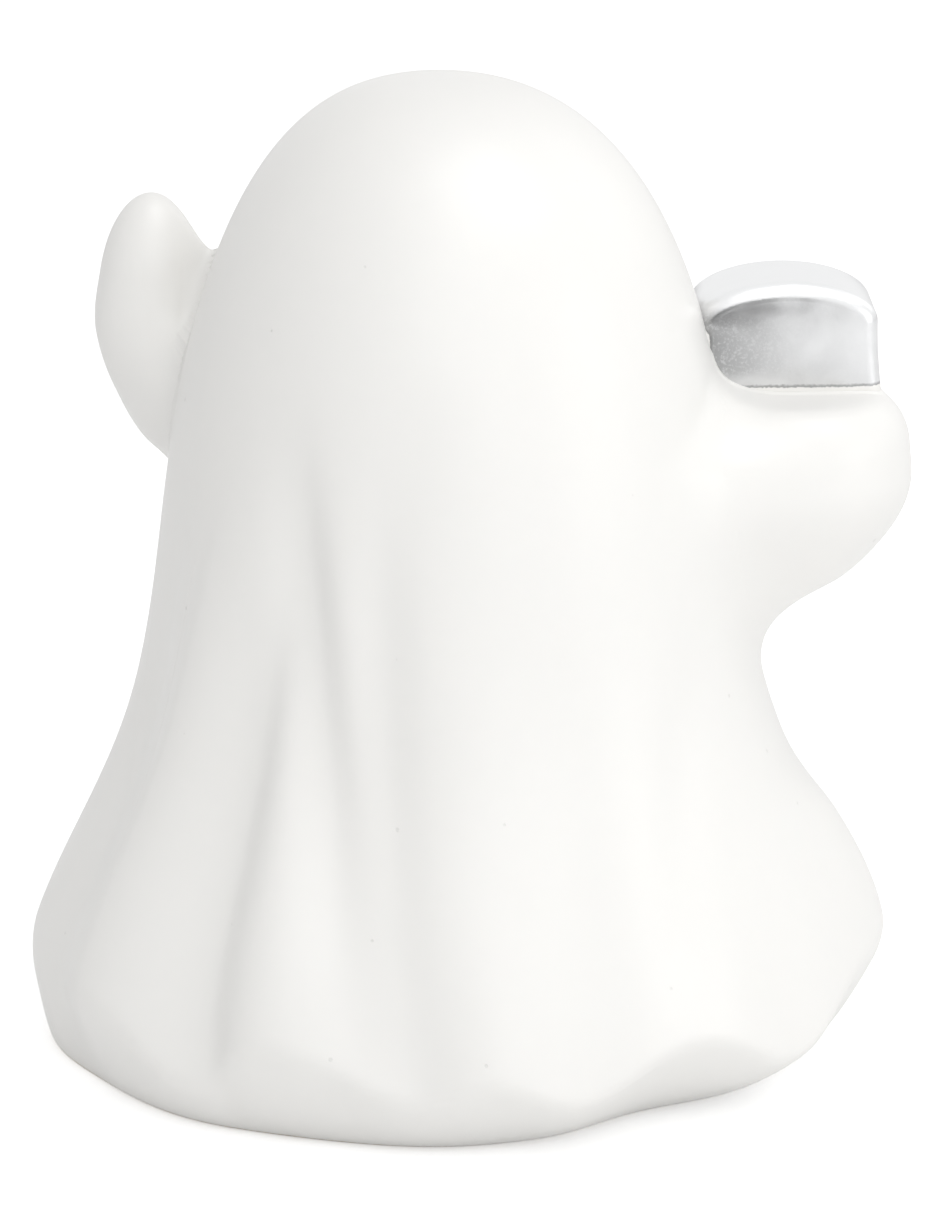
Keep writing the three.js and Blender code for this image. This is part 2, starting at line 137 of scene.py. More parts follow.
# The arms reach past their seam with the body by a share of the web's width. A ray that looks for a surface is
# halved so many times
SEAM_LAP_SHARE = 0.12
SEARCH_STEPS = 26

# Block, turned a little on the palm
BLOCK_DRAFT = 0.6 * MM
BLOCK_SHOULDER = 6 * MM
SHOULDER_POWER = 2
BLOCK_BEARING = 108.6
BLOCK_REACH = 5.1 * MM
BLOCK_TURN = 12.5
BLOCK_SINK = 1.6 * MM
BLOCK_FILLET = 1 * MM
FACE_CROWN = 0.3 * MM
CROWN_POWER = 4

# Lustre: the white strip that it leaves on the inner side, the heights between which the strip ends, the
# rounded lower corner, how ragged its edge is, and its tones: a painted dark reflection low on the inner side,
# painted shade on the sides in cloudy patches, and thin at the edge
LUSTRE_INSET = 2 * MM
LUSTRE_STEP = (8 * MM, 11 * MM)
LUSTRE_CORNER = 5 * MM
LUSTRE_RAGGED = 0.7 * MM
DARK_REFLECTION_TONE = 0.42
CLOUDY_SIDE_SHADE_TONE = 0.8
EDGE_TONE = 0.35

# Glaze: how strongly it bends light, and the pits in it: cells a metre, their reach in shares of a cell, tone
GLAZE_IOR = 1.5
PIT_DENSITY = 105
PIT_LEAST = 0.02
PIT_SPREAD = 0.03
PIT_TONE = 0.9

# The white glaze and the lustre stay rougher than about 0.27. Where a roughness crosses that, the render's
# denoiser leaves an edge
GLAZE_ROUGHNESS = (0.3, 0.38)
LUSTRE_ROUGHNESS = 0.31

# Face: lenses of glaze that stand on the skin, their rims and their undersides below it
EYE_LEVEL = HEIGHT * 0.757
MOUTH_LEVEL = HEIGHT * 0.648
LENS_CROWN = 0.5 * MM
LENS_RIM = 0.06 * MM
LENS_ROOT = 0.9 * MM

# How finely each piece is meshed, and how the body's rows crowd towards the foot and the hem
BODY_COLUMNS = 436
TUCK_ROWS = 30
TUCK_CROWDING = 1.3
SKIN_ROWS = 190
SKIN_CROWDING = 1.2
ARM_COLUMNS = 280
ARM_ROWS = 200
BLOCK_STEPS = 120
EDGE_STEPS = 11
CROWN_STEPS = 17
LENS_COLUMNS = 96
LENS_ROWS = 18
FELT_COLUMNS = 180
FELT_ROWS = 10
FELT_EDGE_STEPS = 9

# Where the body's columns crowd: bearing, weight and spread, most of all over the crests
CROWDING_SHARES = ((10, 1.2, 75), (-59, 6, 15), (-101, 2.5, 11), (100, 1.2, 20))
DENSITY_STEPS = 7200

# The share of the felt's thickness that rounds its edge
FELT_SOFT_SHARE = 0.3

# Each fold: top as a share of the height, bearings at its top, middle and foot, depths at the middle and
# foot as shares of the fold depth, and its spread to the left and right at its top and its foot
FOLD_SHARES = (
    (0.63, (-23, -28.5, -27), (0.8, 1.22), (9, 5, 11, 6)),
    (0.78, (-25, -15, -3), (0.72, 0.03), (8, 4.6, 6, 6)),
    (0.75, (-2, -2.5, 5), (0.56, 0.94), (4.5, 6, 12, 8)),
    (0.57, (37, 31, 30), (0.25, 0.47), (8, 8, 9, 8)),
    (0.56, (70, 53, 44), (0.22, 0.03), (6, 6, 6, 6)),
    (0.35, (62, 62, 62), (0.14, 0.33), (6, 7, 6, 7)),
    (0.53, (116, 119, 120), (0.83, 0.94), (8, 8, 8, 8)),
    (0.51, (136, 140, 142), (0.5, 0.78), (7, 9, 7, 9)),
    (0.41, (158, 157, 159), (0.28, 0.61), (9, 7, 9, 7)),
    (0.43, (184, 182, 185), (0.28, 0.61), (7, 9, 7, 9)),
    (0.52, (208, 210, 213), (0.47, 0.78), (9, 7, 9, 7)),
    (0.48, (238, 239, 241), (0.39, 0.72), (8, 8, 8, 8)),
    (0.48, (263, 265, 268), (0.56, 0.22), (11, 11, 11, 11)),
    (0.75, (-56, -61, -62), (0.33, 0.56), (9, 6, 9, 6)),
    (0.7, (-35, -47, -49), (-0.39, -0.33), (5, 10, 5, 9)),
    (0.33, (96, 98, 98), (-0.89, -0.28), (14, 9, 14, 9)),
)

# Each dip of the hem: bearing, share of the hem's dip, and its spread to the left and right
DIP_SHARES = (
    (-68, 0.32, (9, 8)),
    (-29, 1, (11, 7)),
    (5, 0.74, (11, 9)),
    (28, 0.78, (11, 10)),
    (63, 0.82, (10, 12)),
    (120, 0.48, (9, 9)),
    (142, 0.59, (8, 8)),
    (159, 0.54, (9, 8)),
    (185, 0.59, (9, 10)),
    (213, 0.7, (10, 9)),
    (241, 0.59, (9, 9)),
    (268, 0.38, (12, 10)),
)

# Each swell of the foot's outline: bearing, share of the swell and spread
FOOT_SHARES = ((50, -1, 26), (78, -0.3, 14), (-38, 0.28, 17), (-82, 0.7, 26))

# Each crest pinched up along a fold: heights of its foot and top as shares of the body's height, bearings at
# its foot, middle and top, and its share of the crests' own height
CREST_SHARES = (
    ((0.15, 0.63), (-47.5, -53, -45.5), 1),
    ((0.16, 0.7), (-48, -71.5, -70), 0.8),
    ((0.08, 0.4), (63, 52, 47), 0.5),
)
CREST_SPREAD = 0.26 * MM

# The camera looks from the back and a little from above
VIEW_AZIMUTH = 190
VIEW_ELEVATION = 17
VIEW_DISTANCE = 1
VIEW_LENS = 202.4
VIEW_LEVEL = 66 * MM
VIEW_SHIFT = 2.97 * MM
SENSOR_HEIGHT = 36

# The floor reaches so far each way, and a gloss sees this share of its glow
FLOOR_REACH = 4
GLOSS_SHARE = 0.3

# Each lamp: its turn round the figure from the camera to the right, elevation, distance, size, and whether it
# shows in gloss
LAMPS = {
    "top": (50, 67, 0.9, 0.6, True),
    "front": (12, 8, 1.3, 0.7, False),
    "side": (62, 9, 1.1, 0.6, True),
    "rim": (120, 35, 0.9, 0.5, True),
}

# Each card, seen only in gloss, round a point at the cards' level: its turn, the elevations of its edges, its
# distance, half width and glow. The low dark one draws the dark arc under the block's edge, the light one over
# it the edge's highlight
CARD_LEVEL = 2 * VIEW_LEVEL
CARDS = {
    "dark": (0, (-11, 13), 0.4, 0.1, 0),
    "light": (2, (15, 74), 1.4, 0.25, 1.35),
}


class GhostBodySettings(bpy.types.PropertyGroup):
    fold_depth: FloatProperty(
        name="Fold depth", description="Depth of a deep fold", default=3.6 * MM, unit="LENGTH", precision=4
    )
    crest_height: FloatProperty(
        name="Crest height", description="Height of the crests pinched along the folds", default=0.08 * MM,
        unit="LENGTH", precision=5,
    )
    hem_dip: FloatProperty(
        name="Hem dip", description="How far the hem hangs down at its lowest fold", default=9.3 * MM,
        unit="LENGTH", precision=4,
    )


class GhostArmSettings(bpy.types.PropertyGroup):
    palm_radius: FloatProperty(
        name="Palm radius", description="Radius of the flat palm", default=15.1 * MM, unit="LENGTH",
        precision=4,
    )
    mitten_radius: FloatProperty(
        name="Mitten radius", description="Half the raised mitten's thickness", default=7.3 * MM,
        unit="LENGTH", precision=4,
    )
    mitten_half: FloatProperty(
        name="Mitten half length", description="Half the raised mitten's length", default=14.8 * MM,
        unit="LENGTH", precision=4,
    )


class GhostBlockSettings(bpy.types.PropertyGroup):
    width: FloatProperty(
        name="Width", description="Width of the block", default=27.7 * MM, unit="LENGTH", precision=4
    )
    depth: FloatProperty(
        name="Depth", description="Thickness of the block", default=17.5 * MM, unit="LENGTH", precision=4
    )
    height: FloatProperty(
        name="Height", description="Height of the block above the palm", default=15.8 * MM, unit="LENGTH",
        precision=4,
    )
    edge: FloatProperty(
        name="Edge", description="Radius of the block's rounded edges", default=2.4 * MM, unit="LENGTH",
        precision=4,
    )


class GhostFaceSettings(bpy.types.PropertyGroup):
    eye_width: FloatProperty(
        name="Eye width", description="Width of an eye", default=8 * MM, unit="LENGTH", precision=4
    )
    eye_height: FloatProperty(
        name="Eye height", description="Height of an eye", default=12 * MM, unit="LENGTH", precision=4
    )
    eye_spacing: FloatProperty(
        name="Eye spacing", description="Distance between the eyes' middles", default=19.5 * MM,
        unit="LENGTH", precision=4,
    )
    mouth_width: FloatProperty(
        name="Mouth width", description="Width of the mouth", default=7 * MM, unit="LENGTH", precision=4
    )
    mouth_height: FloatProperty(
        name="Mouth height", description="Height of the mouth", default=9 * MM, unit="LENGTH", precision=4
    )


class GhostFeltSettings(bpy.types.PropertyGroup):
    radius: FloatProperty(
        name="Radius", description="Radius of the felt disc", default=34.5 * MM, unit="LENGTH", precision=4
    )
    thickness: FloatProperty(
        name="Thickness", description="Thickness of the felt", default=1.5 * MM, unit="LENGTH", precision=4
    )


class GhostFinishSettings(bpy.types.PropertyGroup):
    glaze: FloatVectorProperty(
        name="Glaze", description="Colour of the white glaze", default=(0.874, 0.865, 0.843), subtype="COLOR",
        min=0, max=1,
    )
    clay: FloatVectorProperty(
        name="Clay", description="Colour of the bare fired clay under the foot", default=(0.74, 0.69, 0.61),
        subtype="COLOR", min=0, max=1,
    )
    lustre: FloatVectorProperty(
        name="Lustre", description="Colour of the silver lustre where it is thick",
        default=(0.86, 0.865, 0.87), subtype="COLOR", min=0, max=1,
    )
    face: FloatVectorProperty(
        name="Face", description="Colour of the black glaze", default=(0.012, 0.012, 0.014), subtype="COLOR",
        min=0, max=1,
    )
    felt: FloatVectorProperty(
        name="Felt", description="Colour of the felt", default=(0.05, 0.055, 0.05), subtype="COLOR",
        min=0, max=1,
    )


class GhostStageSettings(bpy.types.PropertyGroup):
    floor: FloatVectorProperty(
        name="Floor", description="Colour of the floor", default=(0.9, 0.9, 0.9), subtype="COLOR",
        min=0, max=1,
    )
    floor_glow: FloatProperty(
        name="Floor glow",
        description="White added to the floor as the camera sees it, and some of it in gloss",
        default=0.45, min=0,
    )
    top_power: FloatProperty(
        name="Top power", description="Power of the soft lamp overhead", default=2.2, unit="POWER"
    )
    front_power: FloatProperty(
        name="Front power", description="Power of the soft lamp behind the camera", default=3.3, unit="POWER"
    )
    side_power: FloatProperty(
        name="Side power", description="Power of the soft lamp on the camera's right", default=1.2,
        unit="POWER",
    )
    rim_power: FloatProperty(
        name="Rim power", description="Power of the soft lamp far round on the right", default=0.3,
        unit="POWER",
    )
    sky: FloatProperty(
        name="Sky", description="Strength of the even light from all round", default=0.67, min=0
    )


class GhostSettings(bpy.types.PropertyGroup):
    body: PointerProperty(name="Body", description="Sizes of the body", type=GhostBodySettings)
    arms: PointerProperty(name="Arms", description="Sizes of the arms", type=GhostArmSettings)
    block: PointerProperty(name="Block", description="Sizes of the block", type=GhostBlockSettings)
    face: PointerProperty(name="Face", description="Sizes of the face", type=GhostFaceSettings)
    felt: PointerProperty(name="Felt", description="Sizes of the felt", type=GhostFeltSettings)
    finish: PointerProperty(name="Finish", description="Colours of the finishes", type=GhostFinishSettings)
    stage: PointerProperty(name="Stage", description="Floor and lamps", type=GhostStageSettings)


def smoothstep(t):
    """3t squared less 2t cubed, which leaves 0 and reaches 1 without a kink."""
    return t * t * (3 - 2 * t)


def wrap_degrees(angle):
    """The same angle between -180 and 180."""
    return (angle + 180) % 360 - 180


def bell(offset, left, right):
    """e to the minus square of offset over its left or right spread: 1 at zero, dying out on both sides."""
    return np.exp(-((offset / np.where(offset < 0, left, right)) ** 2))


def through(t, low, middle, high):
    """The parabola through low at t = 0, middle at t = 0.5 and high at t = 1."""
    return low * (1 - t) * (1 - 2 * t) + middle * 4 * t * (1 - t) + high * t * (2 * t - 1)


def blend_min(a, b, width):
    """The lesser of two distances, less a quarter of the width times the square of how near they are."""
    near = np.maximum(width - np.abs(a - b), 0) / width
    return np.minimum(a, b) - near * near * width / 4


def blend_max(a, b, width):
    """The greater of two distances, rounded in the same way."""
    return -blend_min(-a, -b, width)


def half_blend(own, other, width, lap=0):
    """One piece's half of a fillet: the rounded lesser distance, and past the line where both distances are
    equal, or a lap of so many widths beyond it, the square of their difference over the width is added, so
    that the piece dives under the other."""
    past = np.maximum(own - other - lap * width, 0)
    return blend_min(own, other, width) + 2 * past * past / width


def round_edge(a, b, radius):
    """Distance from an edge of that radius, from how far a point is past its middle line on both sides."""
    return np.minimum(np.maximum(a, b), 0) + np.hypot(np.maximum(a, 0), np.maximum(b, 0)) - radius


def along_across(offset, axis):
    """How far an offset runs along a unit axis, and by Pythagoras how far it leads away from it."""
    along = offset @ axis
    return along, np.sqrt(np.maximum((offset**2).sum(-1) - along**2, 0))


def first_outside(point_on, low, high, distance):
    """Where each ray leaves the shape: its length is halved on the side where the distance changes sign."""
    for _ in range(SEARCH_STEPS):
        middle = (low + high) / 2
        inside = distance(point_on(middle)) < 0
        low = np.where(inside, middle, low)
        high = np.where(inside, high, middle)
    return point_on(low)


class GhostShape:
    """The ghost's outer surface as radii and distances, from the sizes in the sidebar."""

    def __init__(self, settings):
        self.body = settings.body
        self.arms = settings.arms
        self.block = settings.block
        self.right_root = self.point_at(RIGHT_BEARING, RIGHT_ROOT_REACH, RIGHT_ROOT_LEVEL)
        self.hand = self.point_at(RIGHT_BEARING, DOME_RADIUS + HAND_REACH, RIGHT_ROOT_LEVEL + HAND_RISE)
        self.palm = self.point_at(RIGHT_BEARING, DOME_RADIUS + PALM_REACH, PALM_TOP - PALM_THICKNESS / 2)
        self.left_root = self.point_at(LEFT_ROOT_BEARING, LEFT_ROOT_REACH, LEFT_ROOT_LEVEL)
        self.mitten = self.point_at(MITTEN_BEARING, DOME_RADIUS + MITTEN_REACH, LEFT_ROOT_LEVEL + MITTEN_RISE)
        tilt = math.radians(MITTEN_TILT)
        self.mitten_axis = np.array([-math.sin(tilt), 0, math.cos(tilt)])
        self.wrist = self.mitten - self.mitten_axis * self.arms.mitten_half * WRIST_SHARE
        self.block_foot = self.point_at(BLOCK_BEARING, DOME_RADIUS + BLOCK_REACH, PALM_TOP + CLEARANCE)
        turn = math.radians(BLOCK_TURN)
        across = (math.cos(turn), math.sin(turn), 0)
        self.block_axes = np.array([across, (-across[1], across[0], 0), (0, 0, 1)])

    def mean_radius(self, z):
        """A dome, its radius times the root of 1 less a power of the height, plus a bell shaped flare."""
        rise = 1 - np.clip(z / HEIGHT, 0, 1) ** DOME_POWER
        flare = FLARE_WIDTH * np.exp(-((np.maximum(z, 0) / FLARE_HEIGHT) ** FLARE_POWER))
        return DOME_RADIUS * rise ** (1 / DOME_ROUNDNESS) + flare

    def mean_slope(self, z):
        """The radius part of the mean outline's unit normal: 1 over the root of 1 plus its slope squared."""
        rise = (self.mean_radius(z + SLOPE_STEP) - self.mean_radius(z - SLOPE_STEP)) / (2 * SLOPE_STEP)
        return 1 / np.hypot(1, rise)

    def fold(self, fold, bearing, z):
        """A bell across the fold's own curved path, deeper or shallower by a parabola of the height, and
        faded in below its top by a smoothstep."""
        top, path, depth, spread = fold
        t = np.clip((z - FOLD_FOOT) / (top * HEIGHT - FOLD_FOOT), 0, 1)
        share = through(t, depth[1], depth[0], 0)
        share = np.where(share * depth[0] > 0, share, 0)
        offset = wrap_degrees(bearing - through(t, path[2], path[1], path[0]))
        left = spread[2] + (spread[0] - spread[2]) * t
        right = spread[3] + (spread[1] - spread[3]) * t
        fade = smoothstep(np.clip((1 - t) / FOLD_FADE_SHARE, 0, 1))
        return self.body.fold_depth * share * fade * bell(offset, left, right)

    def crest(self, crest, bearing, z, radius):
        """A narrow bell across its own curved path, as high as a smooth arch that rises over the first
        quarter of its length and falls over the last third."""
        (low, high), path, share = crest
        t = np.clip((z / HEIGHT - low) / (high - low), 0, 1)
        offset = np.radians(wrap_degrees(bearing - through(t, *path))) * radius
        arch = smoothstep(np.clip(4 * t, 0, 1)) * smoothstep(np.clip(3 * (1 - t), 0, 1))
        return self.body.crest_height * share * arch * bell(offset, CREST_SPREAD, CREST_SPREAD)

    def cloth_radius(self, bearing, z):
        """The mean radius, flattened at the back below, less every fold and plus every crest."""
        flat = BACK_FLAT_SHARE * np.cos(np.radians(bearing)) ** 2
        flat = flat * np.clip((BACK_FLAT_HEIGHT - z) / BACK_FLAT_HEIGHT, 0, 1)
        mean = self.mean_radius(z)
        radius = mean * (1 - flat)
        for fold in FOLD_SHARES:
            radius = radius - self.fold(fold, bearing, z)
        for crest in CREST_SHARES:
            radius = radius + self.crest(crest, bearing, z, mean)
        return radius

    def hem(self, bearing):
        """The hem's height less a bell shaped dip at every fold."""
        z = np.full(np.shape(bearing), HEM_HEIGHT)
        for centre, share, spread in DIP_SHARES:
            z = z - self.body.hem_dip * share * bell(wrap_degrees(bearing - centre), *spread)
        return z

    def foot_radius(self, bearing):
        """An ellipse plus a bell shaped swell at a few bearings."""
        angle = np.radians(bearing)
        radius = 1 / np.hypot(np.sin(angle) / FOOT_HALF_WIDTH, np.cos(angle) / FOOT_HALF_DEPTH)
        for centre, share, spread in FOOT_SHARES:
            radius = radius + FOOT_SWELL * share * bell(wrap_degrees(bearing - centre), spread, spread)
        return radius

    def skin_radius(self, bearing, z):
        """The lesser of the cloth's radius and of the wall under the hem, which draws in to the foot by a
        power of the height, rounded along the hem."""
        edge = self.hem(bearing)
        foot = self.foot_radius(bearing)
        rise = (np.maximum(z, 0) / edge) ** TUCK_POWER
        tuck = foot + (self.cloth_radius(bearing, edge) - foot) * rise
        return np.maximum(blend_min(self.cloth_radius(bearing, z), tuck, HEM_ROUND), 0)

    def lean(self, z):
        """How far the axis leans to the ghost's left: a high power of the height."""
        return CROWN_LEAN * np.clip(z / HEIGHT, 0, 1) ** LEAN_POWER

    def point_at(self, bearing, radius, z):
        """The point at a bearing, a radius and a height round the leaning axis."""
        angle = np.radians(bearing)
        return np.stack(
            np.broadcast_arrays(self.lean(z) - np.sin(angle) * radius, np.cos(angle) * radius, z), -1
        ).astype(float)

    def skin_distance(self, p):
        """About how far a point is from the skin: its radius less the skin's, times the normal's share."""
        z = np.clip(p[..., 2], 0, SLOPE_TOP)
        x = p[..., 0] - self.lean(z)
        bearing = np.degrees(np.arctan2(-x, p[..., 1]))
        return (np.hypot(x, p[..., 1]) - self.skin_radius(bearing, z)) * self.mean_slope(z)

    def taper_distance(self, p, start, end, start_radius, end_radius):
        """Distance from a straight cone with a ball at each end: to the ball that rolls along the axis and
        changes its radius evenly, at the place where it comes nearest."""
        axis = end - start
        length = np.linalg.norm(axis)
        along, across = along_across(p - start, axis / length)
        sine = (start_radius - end_radius) / length
        t = np.clip((along - across * sine / np.sqrt(1 - sine * sine)) / length, 0, 1)
        centre = start + t[..., None] * axis
        return np.linalg.norm(p - centre, axis=-1) - (start_radius + (end_radius - start_radius) * t)

    def mitten_distance(self, p):
        """About how far a point is from an ovoid: its share of the way out to the surface, times that share
        less 1, over the length of the share's slope."""
        along, across = along_across(p - self.mitten, self.mitten_axis)
        radius, half = self.arms.mitten_radius, self.arms.mitten_half
        share = np.hypot(across / radius, along / half)
        return share * (share - 1) / np.maximum(np.hypot(across / radius**2, along / half**2), 1e-6)

    def right_arm_distance(self, p):
        """A thick cone and an upright disc with a rounded edge run together, cut flat at the palm."""
        limb = self.taper_distance(p, self.right_root, self.hand, RIGHT_ROOT_RADIUS, HAND_RADIUS)
        out = np.hypot(p[..., 0] - self.palm[0], p[..., 1] - self.palm[1])
        out = out - (self.arms.palm_radius - PALM_EDGE)
        up = np.abs(p[..., 2] - self.palm[2]) - (PALM_THICKNESS / 2 - PALM_EDGE)
        pad = round_edge(out, up, PALM_EDGE)
        return blend_max(blend_min(limb, pad, PALM_BLEND), p[..., 2] - PALM_TOP, PALM_RIM)

    def left_arm_distance(self, p):
        """A tapered forearm run together with the ovoid mitten."""
        forearm = self.taper_distance(p, self.left_root, self.wrist, LEFT_ROOT_RADIUS, WRIST_RADIUS)
        return blend_min(forearm, self.mitten_distance(p), MITTEN_BLEND)

    def arm_distance(self, p):
        """Distance to the arm on the point's side of the body."""
        return np.where(p[..., 0] < 0, self.right_arm_distance(p), self.left_arm_distance(p))

    def web(self, p):
        """Width of the fillet between arm and body: the right one widens upwards and narrows again at the
        palm's top, the left one widens upwards and is narrow at the back."""
        z = p[..., 2]
        rise = smoothstep(np.clip((z - RIGHT_ROOT_LEVEL) / WEB_RISE, 0, 1))
        fall = smoothstep(np.clip((z - PALM_TOP + WEB_DROP) / WEB_FADE, 0, 1))
        right = WEB_UNDER + (WEB_TOP - WEB_UNDER) * rise - (WEB_TOP - WEB_CROWN) * fall
        reach = (z - self.mitten[2] - self.arms.mitten_half / 2) / LEFT_WEB_RISE
        left = LEFT_WEB_UNDER + (LEFT_WEB_TOP - LEFT_WEB_UNDER) * np.clip(reach + 1, 0, 1)
        back = smoothstep(np.clip((p[..., 1] - self.mitten[1]) / LEFT_WEB_TURN, 0, 1))
        left = left + (LEFT_WEB_BACK - left) * back
        return np.where(p[..., 0] < 0, right, left)

    def block_half_width(self, rise):
        """Half the block's width: least from the shoulder up, and a square law wider towards its foot."""
        shoulder = self.block.height - BLOCK_SHOULDER
        return self.block.width / 2 - BLOCK_DRAFT * (1 - np.clip(1 - rise / shoulder, 0, 1) ** 2)

    def block_distance(self, p):
        """Distance from the block below its shoulders: a drafted bar with round edges and flat ends."""
        edge = self.block.edge
        local = (p - self.block_foot) @ self.block_axes.T
        side = np.abs(local[..., 0]) - self.block_half_width(local[..., 2]) + edge
        face = np.abs(local[..., 1]) - self.block.depth / 2 + edge
        ends = np.maximum(local[..., 2] - self.block.height, -BLOCK_SINK - local[..., 2])
        return np.maximum(round_edge(side, face, edge), ends)

    def glazed(self, own, other, p, lap=0):
        """One glazed piece where it runs into the other, and then up to the block."""
        piece = half_blend(own, other, self.web(p), lap)
        return half_blend(piece, self.block_distance(p), BLOCK_FILLET)

    def body_rings(self, columns, heights):
        """The skin at every bearing and row, moved out along its radius to the fillets at the arms."""
        bearing = np.broadcast_to(columns, heights.shape)
        skin = self.skin_radius(bearing, heights)
        slope = self.mean_slope(np.clip(heights, 0, SLOPE_TOP))
        points = self.point_at(bearing, skin, heights)
        near = (self.arm_distance(points) < self.web(points)) & (heights > WEB_FOOT)
        bearing, skin, heights, slope = bearing[near], skin[near], heights[near], slope[near]

        def distance(p):
            own = (np.hypot(p[:, 0] - self.lean(heights), p[:, 1]) - skin) * slope
            return self.glazed(own, self.arm_distance(p), p)

        points[near] = first_outside(
            lambda radius: self.point_at(bearing, radius, heights), skin - WEB_UNDER, skin + WEB_TOP, distance
        )
        return points

    def arm_rings(self, centre, root, distance):
        """The arm's surface along rays from a point inside it, turned evenly round and tilted evenly from
        the tip's side to the root's."""
        axis = (root - centre) / np.linalg.norm(root - centre)
        side = np.array([-axis[1], axis[0], 0]) / np.hypot(axis[0], axis[1])
        other = np.cross(axis, side)
        turn = np.linspace(0, 2 * np.pi, ARM_COLUMNS, endpoint=False)[None, :, None]
        tilt = np.linspace(0, np.pi, ARM_ROWS)[:, None, None]
        ray = -np.cos(tilt) * axis + np.sin(tilt) * (np.cos(turn) * side + np.sin(turn) * other)
        return first_outside(
            lambda reach: centre + ray * reach[..., None],
            np.zeros(ray.shape[:2]),
            np.full(ray.shape[:2], 2 * DOME_RADIUS),
            lambda p: self.glazed(distance(p), self.skin_distance(p), p, SEAM_LAP_SHARE),
        )

    def block_rings(self):
        """The block's outline, a superellipse arch on drafted sides, carried through its depth: drawn in by
        its normal over the quarter round of each edge, and shrunk to a point over each face, which stands out
        by the share that is left less a power of it."""
        half, shoulder = self.block.width / 2 - BLOCK_DRAFT, self.block.height - BLOCK_SHOULDER
        turn = np.linspace(0, np.pi, BLOCK_STEPS)
        cosine, sine = np.cos(turn), np.sin(turn)
        arch_across = half * np.sign(cosine) * np.abs(cosine) ** (2 / SHOULDER_POWER)
        arch_rise = shoulder + BLOCK_SHOULDER * sine ** (2 / SHOULDER_POWER)
        slant = np.sign(cosine) * np.abs(cosine) ** (2 - 2 / SHOULDER_POWER) / half
        lift = sine ** (2 - 2 / SHOULDER_POWER) / BLOCK_SHOULDER
        lean = np.hypot(slant, lift)
        rise = np.linspace(-BLOCK_SINK, shoulder, BLOCK_STEPS // 4, endpoint=False)
        flank = self.block_half_width(rise)
        base = np.linspace(-flank[0], flank[0], BLOCK_STEPS // 4, endpoint=False)[1:]
        one, zero = np.ones(len(rise)), np.zeros(len(base))
        across = np.concatenate([flank, arch_across, -flank[::-1], base])
        up = np.concatenate([rise, arch_rise, rise[::-1], zero - BLOCK_SINK])
        out_across = np.concatenate([one, slant / lean, -one, base / flank[0]])
        out_up = np.concatenate([0 * one, lift / lean, 0 * one, zero])
        edge, half_depth = self.block.edge, self.block.depth / 2 - FACE_CROWN
        quarter = np.linspace(0, np.pi / 2, EDGE_STEPS)
        inset = edge * (1 - np.sin(quarter))
        depth = half_depth - edge * (1 - np.cos(quarter))
        inset = np.concatenate([inset, inset[::-1]])
        depth = np.concatenate([depth, -depth[::-1]])
        side = np.stack(
            np.broadcast_arrays(
                across - inset[:, None] * out_across, depth[:, None], up - inset[:, None] * out_up
            ),
            -1,
        )
        shrink = np.sin(np.linspace(0, np.pi / 2, CROWN_STEPS))[1:-1, None, None]
        middle = np.array([0, half_depth + FACE_CROWN, self.block.height / 2])
        crown = np.array([0, FACE_CROWN, 0]) * (shrink - shrink**CROWN_POWER)
        middle_front = middle * (1, -1, 1)
        back = middle + (side[0] - middle) * shrink + crown
        front = (middle_front + (side[-1] - middle_front) * shrink - crown)[::-1]
        rings = np.concatenate([back, side, front])
        return (part @ self.block_axes + self.block_foot for part in (rings, middle, middle_front))


def face_rings(shape, bearing, level, width, tall):
    """A lens of glaze on the skin: ovals that shrink to the middle, raised by the root of 1 less the cube of
    their share of the oval, and below them the same ovals at one depth under the skin."""
    per_degree = math.radians(1) * float(shape.skin_radius(np.float64(bearing), np.float64(level)))
    turn = np.linspace(0, 2 * np.pi, LENS_COLUMNS, endpoint=False)[None, :]
    share = np.linspace(1, 0, LENS_ROWS)[:-1, None]

    def ovals(size, depth):
        across = bearing + size * width / 2 * np.cos(turn) / per_degree
        z = level + size * tall / 2 * np.sin(turn)
        return shape.point_at(across, shape.skin_radius(across, z) + depth, z)

    crown = LENS_CROWN * np.sqrt(np.clip(1 - share**3, 0, 1)) - LENS_RIM
    under = ovals(share[::-1], -LENS_ROOT)
    over = ovals(share, crown)
    pole = shape.point_at(bearing, shape.skin_radius(np.float64(bearing), np.float64(level)), level)
    outward = shape.point_at(bearing, 1, level) - shape.point_at(bearing, 0, level)
    return np.concatenate([under, over]), pole - LENS_ROOT * outward, pole + (LENS_CROWN - LENS_RIM) * outward


def ring_mesh(name, rings, first, last, material, node):
    """A closed surface: rings of points joined by quads, each end closed by a fan to one point."""
    count, around = rings.shape[:2]
    points = np.concatenate([[first], rings.reshape(-1, 3), [last]])
    at = 1 + np.arange(count)[:, None] * around + np.arange(around + 1) % around
    quads = np.stack([at[:-1, :-1], at[:-1, 1:], at[1:, 1:], at[1:, :-1]], -1).reshape(-1, 4)
    start = np.stack([0 * at[0, 1:], at[0, 1:], at[0, :-1]], -1)
    end = np.stack([at[-1, :-1], at[-1, 1:], 0 * at[0, 1:] + len(points) - 1], -1)
    mesh = bpy.data.meshes.new(name)
    mesh.from_pydata(points, [], [*quads.tolist(), *start.tolist(), *end.tolist()])
    mesh.shade_smooth()
    mesh.materials.append(material)
    piece = bpy.data.objects.new(name, mesh)
    bpy.context.scene.collection.objects.link(piece)
    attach(piece, "root")
    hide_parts(node)
    return piece


